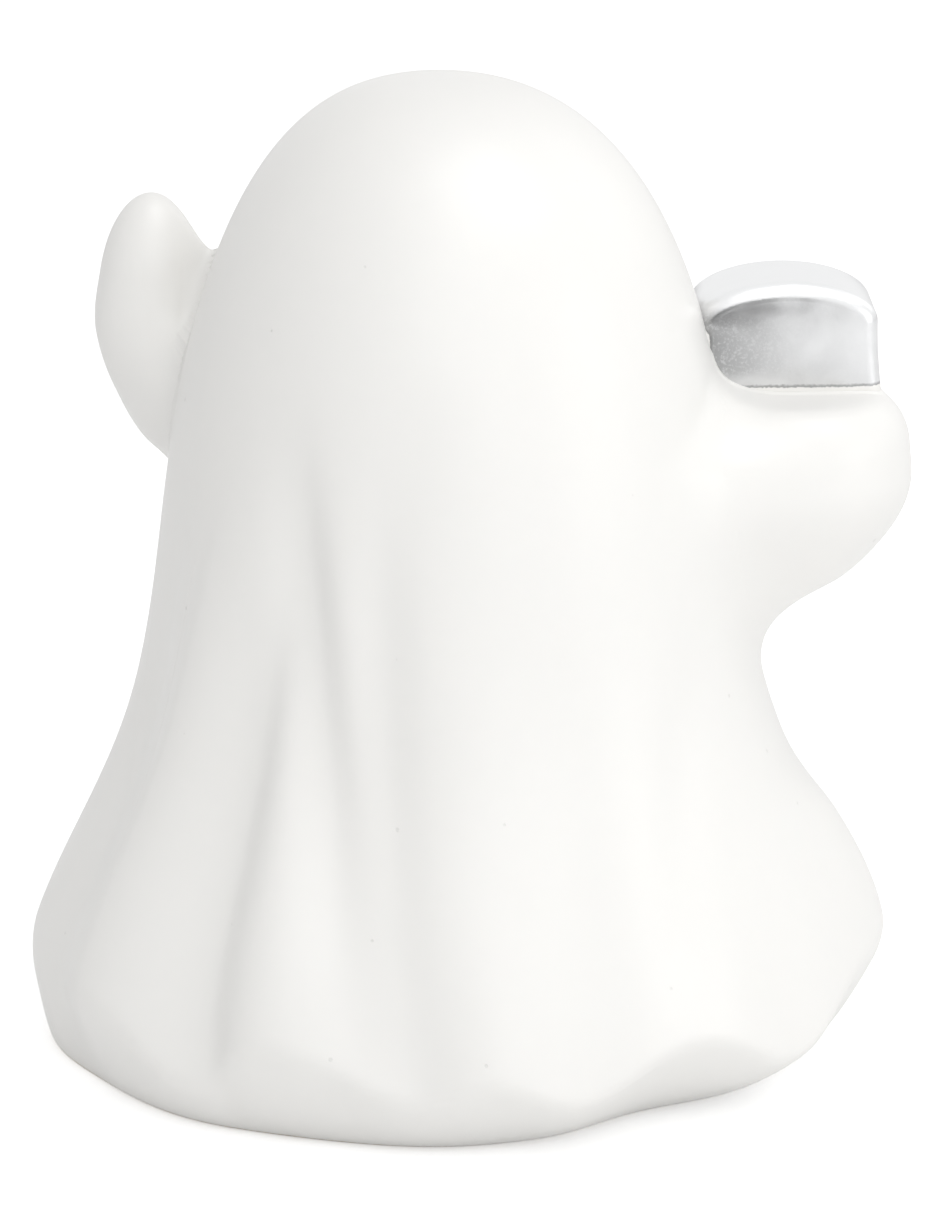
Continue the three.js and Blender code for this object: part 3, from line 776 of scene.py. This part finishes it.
def body_columns():
    """Bearings crowded where the back's narrow folds and crests are: the inverse of a density's running
    total, the density being 1 plus a bell for each crowding."""
    bearing = np.linspace(-180, 180, DENSITY_STEPS + 1)
    density = 1
    for centre, weight, spread in CROWDING_SHARES:
        density = density + weight * bell(bearing - centre, spread, spread)
    total = np.concatenate([[0], np.cumsum((density[1:] + density[:-1]) / 2)])
    return np.interp(np.arange(BODY_COLUMNS) * total[-1] / BODY_COLUMNS, total, bearing)


class Value:
    """A shader socket that is added, multiplied and compared like a number, by Math nodes."""

    def __init__(self, graph, socket):
        self.graph = graph
        self.socket = socket

    def math(self, operation, *values):
        return self.graph.value("ShaderNodeMath", {"operation": operation}, dict(enumerate((self, *values))))

    def __add__(self, other):
        return self.math("ADD", other)

    def __sub__(self, other):
        return self.math("SUBTRACT", other)

    def __rsub__(self, other):
        return self.graph.value("ShaderNodeMath", {"operation": "SUBTRACT"}, {0: other, 1: self})

    def __mul__(self, other):
        return self.math("MULTIPLY", other)

    def __truediv__(self, other):
        return self.math("DIVIDE", other)

    def __pow__(self, other):
        return self.math("POWER", other)

    __radd__ = __add__
    __rmul__ = __mul__

    def least(self, other):
        return self.math("MINIMUM", other)

    def most(self, other):
        return self.math("MAXIMUM", other)

    def ramp(self, start, end, low=0, high=1):
        """A smooth rise from low at start to high at end."""
        values = {0: self, 1: start, 2: end, 3: low, 4: high}
        return self.graph.value("ShaderNodeMapRange", {"interpolation_type": "SMOOTHSTEP"}, values)


class Graph:
    """The nodes of one material or world."""

    def __init__(self, owner):
        owner.use_nodes = True
        self.tree = owner.node_tree
        self.tree.nodes.clear()

    def node(self, kind, settings=None, values=None):
        """A node of that kind: its settings first, then a value or link for each socket named."""
        node = self.tree.nodes.new(kind)
        for name, setting in (settings or {}).items():
            setattr(node, name, setting)
        for key, value in (values or {}).items():
            socket = node.inputs[key]
            if isinstance(value, Value):
                self.tree.links.new(value.socket, socket)
            elif isinstance(value, bpy.types.NodeSocket):
                self.tree.links.new(value, socket)
            else:
                socket.default_value = value
        return node

    def value(self, kind, settings=None, values=None, output=0):
        return Value(self, self.node(kind, settings, values).outputs[output])

    def position(self):
        return self.node("ShaderNodeTexCoord").outputs["Object"]

    def height_of(self, position):
        return self.value("ShaderNodeSeparateXYZ", None, {0: position}, "Z")

    def noise(self, position, size, detail=2, roughness=0.5, distortion=0):
        """Noise from 0 to 1 with features about as large as size."""
        values = {"Vector": position, "Scale": 1 / size, "Detail": detail}
        values |= {"Roughness": roughness, "Distortion": distortion}
        return self.value("ShaderNodeTexNoise", None, values)

    def colour(self, factor, low, high):
        """The colour from low at 0 to high at 1."""
        low, high = ((*c, 1) if isinstance(c, (tuple, list)) else c for c in (low, high))
        node = self.node("ShaderNodeMix", {"data_type": "RGBA"}, {0: factor, 6: low, 7: high})
        return node.outputs[2]

    def bump(self, height, distance):
        """The normal of a surface that a height from 0 to 1 raises by up to the distance."""
        values = {"Height": height, "Distance": distance, "Strength": 1}
        return self.node("ShaderNodeBump", None, values).outputs[0]

    def surface(self, values):
        """The one shader of a piece, joined to the material's output."""
        shader = self.node("ShaderNodeBsdfPrincipled", None, values)
        self.node("ShaderNodeOutputMaterial", None, {0: shader.outputs[0]})


def shade(colour, factor):
    """A colour made lighter or darker."""
    return tuple(min(1, channel * factor) for channel in colour)


def glaze_colour(graph, position, glaze):
    """White glaze: a fine drift between a warmer and a cooler white."""
    drift = graph.noise(position, 3 * MM, 3)
    return graph.colour(drift, tuple(glaze), (glaze[0] * 0.985, glaze[1] * 0.988, glaze[2] * 0.99))


def pinholes(graph, position):
    """Pits left by bubbles in the glaze: small balls round a few of the points scattered in space."""
    values = {"Vector": position, "Scale": PIT_DENSITY, "Randomness": 1}
    node = graph.node("ShaderNodeTexVoronoi", None, values)
    distance = Value(graph, node.outputs["Distance"])
    chance = graph.value("ShaderNodeSeparateColor", None, {0: node.outputs["Color"]})
    reach = PIT_LEAST + PIT_SPREAD * chance
    return 1 - (distance / reach).ramp(0.6, 1)


def white_glaze(graph, finish):
    """Satin white glaze with pinholes, a faint ripple and mottled gloss, wiped off the foot's rim."""
    position = graph.position()
    bare = graph.noise(position, 3 * MM) * 0.5 * MM
    bare = 1 - (graph.height_of(position) - bare).ramp(0.1 * MM, 0.5 * MM)
    pits = pinholes(graph, position)
    colour = glaze_colour(graph, position, finish.glaze)
    colour = graph.colour(pits, colour, shade(finish.glaze, PIT_TONE))
    colour = graph.colour(bare, colour, tuple(finish.clay))
    mottle = graph.noise(position, 14 * MM, 2).ramp(0.3, 0.7, *GLAZE_ROUGHNESS)
    ripple = graph.noise(position, 12 * MM, 1) + 0.01 * graph.noise(position, 1.4 * MM, 2)
    graph.surface(
        {
            "Base Color": colour,
            "Roughness": (mottle + 0.25 * pits + 0.5 * bare).least(0.95),
            "Normal": graph.bump(ripple - 0.6 * pits, 0.08 * MM),
            "IOR": GLAZE_IOR,
        }
    )


def silver_lustre(graph, finish, shape):
    """Painted silver lustre: light and cloudy on top and outwards, with painted shade in cloudy patches on the
    sides below the top, and a painted dark reflection, speckled, low on the inner side. It ends in a ragged
    brush edge.
    The white glaze keeps a strip of the inner side and its lower corner."""
    position = graph.position()
    block, foot, across = shape.block, shape.block_foot, shape.block_axes[0]
    height = graph.height_of(position) - foot[2]
    settings = {"operation": "DOT_PRODUCT"}
    along = graph.value("ShaderNodeVectorMath", settings, {0: position, 1: across}, "Value")
    outward = 0.5 - (along - float(foot @ across)) / block.width
    ragged = graph.noise(position, 0.5 * MM, 4, 0.65) * LUSTRE_RAGGED
    inner = LUSTRE_INSET * (1 - height.ramp(*LUSTRE_STEP))
    beside = (LUSTRE_CORNER + inner - outward * block.width).most(0)
    below = (LUSTRE_CORNER - height).most(0)
    margin = LUSTRE_CORNER - (beside * beside + below * below) ** 0.5
    painted = (margin - ragged).ramp(0.1 * MM, 0.3 * MM)
    cloud = graph.noise(position, 7 * MM, 3, 0.5, 0.3).ramp(0.25, 0.75)
    grain = graph.noise(position, 0.45 * MM, 3, 0.7).ramp(0.45, 0.68)
    # Painted shade: this mask marks the sides below the top, which are made darker than the top
    flank = 1 - (height / block.height + 0.06 * cloud).ramp(0.66, 0.84)
    # Painted dark reflection: the face is darkened low on its inner side, towards the body, but not right at
    # its foot
    dark_reflection = (1 - (outward + 0.2 * cloud).ramp(0.12, 0.8)) * flank
    dark_reflection = dark_reflection * (height - 0.6 * MM * cloud).ramp(0.6 * MM, 3.4 * MM)
    tone = graph.colour(dark_reflection, shade(finish.lustre, 0.98), shade(finish.lustre, DARK_REFLECTION_TONE))
    # Painted shade on the sides, in cloudy patches
    tone = graph.colour((1 - cloud) * 0.5 * flank, tone, shade(finish.lustre, CLOUDY_SIDE_SHADE_TONE))
    tone = graph.colour(grain * (0.1 + 0.4 * dark_reflection), tone, tuple(finish.lustre))
    edge = 1 - (margin - ragged).ramp(0.3 * MM, 0.8 * MM)
    tone = graph.colour(edge * painted * 0.8, tone, shade(finish.lustre, EDGE_TONE))
    ripple = graph.noise(position, 9 * MM, 1) + 0.02 * graph.noise(position, 0.6 * MM, 2)
    graph.surface(
        {
            "Base Color": graph.colour(painted, tuple(finish.glaze), tone),
            "Metallic": painted,
            "Roughness": LUSTRE_ROUGHNESS - 0.03 * cloud + 0.02 * dark_reflection,
            "Normal": graph.bump(ripple, 0.5 * MM),
            "IOR": GLAZE_IOR,
        }
    )


def black_glaze(graph, finish):
    """Thick black glaze with a faint ripple and a slow drift of its gloss."""
    position = graph.position()
    drift = graph.noise(position, 4 * MM, 3)
    graph.surface(
        {
            "Base Color": graph.colour(drift, shade(finish.face, 0.7), shade(finish.face, 1.5)),
            "Roughness": drift.ramp(0.3, 0.7, 0.1, 0.2),
            "Normal": graph.bump(graph.noise(position, 2.5 * MM, 1), 0.05 * MM),
            "IOR": GLAZE_IOR,
        }
    )


def matted_felt(graph, finish):
    """Felt: matted fibres as stretched noise over a slow mottle."""
    position = graph.position()
    fibres = graph.noise(position, 0.5 * MM, 5, 0.75, 2.5)
    mottle = graph.noise(position, 5 * MM, 2)
    tone = (fibres * 0.75 + mottle * 0.25).ramp(0.3, 0.7)
    graph.surface(
        {
            "Base Color": graph.colour(tone, shade(finish.felt, 0.6), shade(finish.felt, 1.6)),
            "Roughness": fibres.ramp(0.3, 0.7, 0.88, 0.98),
            "Normal": graph.bump(fibres, 0.25 * MM),
            "Sheen Weight": 0.3,
            "Sheen Roughness": 0.5,
            "Specular IOR Level": 0.2,
        }
    )


def finish_of(make, *values):
    """The material that a function makes, under a name of its own apart from the CAD's, on its first use."""
    name = f"ghost_{make.__name__}"
    material = bpy.data.materials.get(name)
    if material is None:
        material = bpy.data.materials.new(name)
        make(Graph(material), *values)
    return material


class GHOST_OT_body(bpy.types.Operator):
    """Builds the draped body with its folds, crests, hem and foot"""

    bl_idname = "ghost.body"
    bl_label = "Body"

    def execute(self, context):
        settings = context.scene.ghost
        shape = GhostShape(settings)
        columns = body_columns()
        edge = shape.hem(columns)
        tuck = (np.arange(TUCK_ROWS)[:, None] / TUCK_ROWS) ** TUCK_CROWDING * edge
        rise = np.sin(np.pi / 2 * (np.arange(SKIN_ROWS)[:, None] / SKIN_ROWS) ** SKIN_CROWDING)
        heights = np.concatenate([tuck, edge + (HEIGHT - edge) * rise])
        skin = shape.body_rings(columns, heights)
        foot = shape.foot_radius(columns)
        recess = settings.felt.radius + CLEARANCE
        under = np.stack(
            [
                shape.point_at(columns, recess, RECESS_DEPTH),
                shape.point_at(columns, recess, 0),
                shape.point_at(columns, recess + (foot - recess) / 2, 0),
                shape.point_at(columns, foot - FOOT_EDGE, 0),
            ]
        )
        rings = np.concatenate([under, skin])
        first, last = shape.point_at(0, 0, RECESS_DEPTH), shape.point_at(0, 0, HEIGHT)
        glaze = finish_of(white_glaze, settings.finish)
        ring_mesh("glazed_body", rings, first, last, glaze, "body_shell")
        return {"FINISHED"}


class GHOST_OT_arms(bpy.types.Operator):
    """Builds the raised mitten arm and the arm with the flat palm"""

    bl_idname = "ghost.arms"
    bl_label = "Arms"

    def execute(self, context):
        settings = context.scene.ghost
        shape = GhostShape(settings)
        glaze = finish_of(white_glaze, settings.finish)
        for side, centre, root, distance in (
            ("left", shape.mitten, shape.left_root, shape.left_arm_distance),
            ("right", shape.hand, shape.right_root, shape.right_arm_distance),
        ):
            rings = shape.arm_rings(centre, root, distance)
            first, last = rings[0, 0], rings[-1, 0]
            ring_mesh(f"glazed_{side}_arm", rings[1:-1], first, last, glaze, f"{side}_arm")
        return {"FINISHED"}


class GHOST_OT_block(bpy.types.Operator):
    """Builds the lustred block on the palm"""

    bl_idname = "ghost.block"
    bl_label = "Block"

    def execute(self, context):
        settings = context.scene.ghost
        shape = GhostShape(settings)
        rings, first, last = shape.block_rings()
        lustre = finish_of(silver_lustre, settings.finish, shape)
        ring_mesh("lustred_block", rings, first, last, lustre, "silver_block")
        return {"FINISHED"}


class GHOST_OT_face(bpy.types.Operator):
    """Builds the eyes and the mouth as lenses of black glaze"""

    bl_idname = "ghost.face"
    bl_label = "Face"

    def execute(self, context):
        settings = context.scene.ghost
        shape = GhostShape(settings)
        face = settings.face
        turn = math.degrees(face.eye_spacing / 2 / float(shape.mean_radius(EYE_LEVEL)))
        glaze = finish_of(black_glaze, settings.finish)
        for node, bearing, level, width, tall in (
            ("left_eye", 180 + turn, EYE_LEVEL, face.eye_width, face.eye_height),
            ("right_eye", 180 - turn, EYE_LEVEL, face.eye_width, face.eye_height),
            ("mouth", 180, MOUTH_LEVEL, face.mouth_width, face.mouth_height),
        ):
            rings, first, last = face_rings(shape, bearing, level, width, tall)
            ring_mesh(f"glazed_{node}", rings, first, last, glaze, node)
        return {"FINISHED"}


class GHOST_OT_felt(bpy.types.Operator):
    """Builds the felt disc under the base"""

    bl_idname = "ghost.felt"
    bl_label = "Felt"

    def execute(self, context):
        settings = context.scene.ghost
        radius, thickness = settings.felt.radius, settings.felt.thickness
        turn = np.linspace(0, 2 * np.pi, FELT_COLUMNS, endpoint=False)
        half_round = np.linspace(-np.pi / 2, np.pi / 2, FELT_EDGE_STEPS)
        soft = thickness * FELT_SOFT_SHARE
        flat = np.linspace(0, 1, FELT_ROWS)[1:-1] * (radius - soft)
        out = np.concatenate([flat, radius - soft + soft * np.cos(half_round), flat[::-1]])
        up = np.concatenate([0 * flat, thickness / 2 * (1 + np.sin(half_round)), 0 * flat + thickness])
        ring = np.stack([np.cos(turn), np.sin(turn), 0 * turn], -1)
        rings = out[:, None, None] * ring + up[:, None, None] * np.array([0, 0, 1])
        cloth = finish_of(matted_felt, settings.finish)
        first, last = np.zeros(3), np.array([0, 0, thickness])
        disc = ring_mesh("felt_disc", rings, first, last, cloth, "base_felt")
        return {"FINISHED"}


def polar(azimuth, elevation, distance):
    """A point round the figure: azimuth 0 in front of it, elevation above the horizon."""
    a, e = math.radians(azimuth), math.radians(elevation)
    return Vector((math.sin(a) * math.cos(e), -math.cos(a) * math.cos(e), math.sin(e))) * distance


def softbox(name, power, azimuth, elevation, distance, size, glossy):
    """A square lamp that faces the figure, with or without a highlight of its own."""
    lamp = bpy.data.lights.new(name, "AREA")
    lamp.size = size
    lamp.energy = power
    holder = bpy.data.objects.new(name, lamp)
    away = polar(azimuth, elevation, distance)
    holder.location = away + Vector((0, 0, VIEW_LEVEL))
    holder.rotation_euler = away.to_track_quat("Z", "Y").to_euler()
    holder.visible_camera = False
    holder.visible_glossy = glossy
    bpy.context.scene.collection.objects.link(holder)


def ray(graph, kind):
    """1 for a ray of that kind, 0 for any other."""
    return graph.value("ShaderNodeLightPath", None, None, f"Is {kind} Ray")


def stage_quad(name, corners):
    """A flat piece of the stage with four corners, and the graph of its own material."""
    mesh = bpy.data.meshes.new(name)
    mesh.from_pydata(corners, [], [(0, 1, 2, 3)])
    material = bpy.data.materials.new(name)
    mesh.materials.append(material)
    quad = bpy.data.objects.new(name, mesh)
    bpy.context.scene.collection.objects.link(quad)
    return quad, Graph(material)


class GHOST_OT_stage(bpy.types.Operator):
    """Builds the floor, the lamps, the light from all round and the camera"""

    bl_idname = "ghost.stage"
    bl_label = "Stage"

    def execute(self, context):
        settings = context.scene.ghost.stage
        self.floor(settings)
        self.sky(context.scene, settings)
        for name, (turn, *place) in LAMPS.items():
            softbox(f"{name}_lamp", getattr(settings, f"{name}_power"), VIEW_AZIMUTH + turn, *place)
        for name, place in CARDS.items():
            self.card(f"{name}_card", *place)
        self.camera(context.scene)
        context.scene.view_settings.view_transform = "Standard"
        return {"FINISHED"}

    def floor(self, settings):
        """Matt and lit from above, with a glow that the camera and a gloss see, and clear from below."""
        signs = ((-1, -1), (1, -1), (1, 1), (-1, 1))
        _, graph = stage_quad("floor", [(FLOOR_REACH * x, FLOOR_REACH * y, 0) for x, y in signs])
        matt = graph.node("ShaderNodeBsdfDiffuse", None, {"Color": (*settings.floor, 1)})
        shown = ray(graph, "Camera") + GLOSS_SHARE * ray(graph, "Glossy")
        glow = graph.node("ShaderNodeEmission", None, {"Strength": shown * settings.floor_glow})
        lit = graph.node("ShaderNodeAddShader", None, {0: matt.outputs[0], 1: glow.outputs[0]})
        clear = graph.node("ShaderNodeBsdfTransparent")
        below = graph.value("ShaderNodeNewGeometry", None, None, "Backfacing")
        both = graph.node("ShaderNodeMixShader", None, {0: below, 1: lit.outputs[0], 2: clear.outputs[0]})
        graph.node("ShaderNodeOutputMaterial", None, {0: both.outputs[0]})

    def card(self, name, turn, span, reach, half_width, glow):
        """A card between two elevations on the camera's side, with a glow that only a gloss shows."""
        low, high, across = (polar(VIEW_AZIMUTH + turn, angle, reach) for angle in (*span, 0))
        side = across.cross(Vector((0, 0, 1))).normalized() * half_width
        lift = Vector((0, 0, CARD_LEVEL))
        corners = [low + lift - side, low + lift + side, high + lift + side, high + lift - side]
        card, graph = stage_quad(name, corners)
        light = graph.node("ShaderNodeEmission", None, {"Strength": glow})
        graph.node("ShaderNodeOutputMaterial", None, {0: light.outputs[0]})
        card.visible_camera = False
        card.visible_diffuse = False
        card.visible_shadow = False

    def sky(self, scene, settings):
        """Even light of the set strength on the figure, and white for the camera, gloss and clear things."""
        world = bpy.data.worlds.new("studio")
        scene.world = world
        graph = Graph(world)
        seen = ray(graph, "Camera").most(ray(graph, "Glossy")).most(ray(graph, "Transmission"))
        strength = seen + (1 - seen) * settings.sky
        light = graph.node("ShaderNodeBackground", None, {"Color": (1, 1, 1, 1), "Strength": strength})
        graph.node("ShaderNodeOutputWorld", None, {0: light.outputs[0]})

    def camera(self, scene):
        lens = bpy.data.cameras.new("camera")
        lens.sensor_fit = "VERTICAL"
        lens.sensor_height = SENSOR_HEIGHT
        lens.lens = VIEW_LENS
        camera = bpy.data.objects.new("camera", lens)
        turn = math.radians(VIEW_AZIMUTH)
        right = Vector((math.cos(turn), math.sin(turn), 0))
        back = polar(VIEW_AZIMUTH, VIEW_ELEVATION, VIEW_DISTANCE)
        camera.location = Vector((0, 0, VIEW_LEVEL)) + right * VIEW_SHIFT + back
        camera.rotation_euler = back.to_track_quat("Z", "Y").to_euler()
        scene.collection.objects.link(camera)
        scene.camera = camera


OPERATORS = (GHOST_OT_body, GHOST_OT_arms, GHOST_OT_block, GHOST_OT_face, GHOST_OT_felt, GHOST_OT_stage)


class GHOST_PT_panel(bpy.types.Panel):
    """Sizes, colours and steps of the ghost figurine"""

    bl_idname = "GHOST_PT_panel"
    bl_label = "Ceramic Ghost"
    bl_space_type = "VIEW_3D"
    bl_region_type = "UI"
    bl_category = "Ghost"

    def draw(self, context):
        settings = context.scene.ghost
        for group in settings.bl_rna.properties:
            if group.type != "POINTER" or group.identifier == "rna_type":
                continue
            box = self.layout.box()
            box.label(text=group.name)
            values = getattr(settings, group.identifier)
            for value in values.bl_rna.properties:
                if value.identifier not in ("rna_type", "name"):
                    box.prop(values, value.identifier)
        for operator in OPERATORS:
            self.layout.operator(operator.bl_idname)


CLASSES = (
    GhostBodySettings,
    GhostArmSettings,
    GhostBlockSettings,
    GhostFaceSettings,
    GhostFeltSettings,
    GhostFinishSettings,
    GhostStageSettings,
    GhostSettings,
    *OPERATORS,
    GHOST_PT_panel,
)


def register():
    for cls in CLASSES:
        bpy.utils.register_class(cls)
    bpy.types.Scene.ghost = PointerProperty(type=GhostSettings)


def unregister():
    del bpy.types.Scene.ghost
    for cls in reversed(CLASSES):
        bpy.utils.unregister_class(cls)


def main():
    """Builds every piece and the stage."""
    register()
    bpy.ops.ghost.body()
    bpy.ops.ghost.arms()
    bpy.ops.ghost.block()
    bpy.ops.ghost.face()
    bpy.ops.ghost.felt()
    bpy.ops.ghost.stage()


if __name__ == "__main__":
    main()
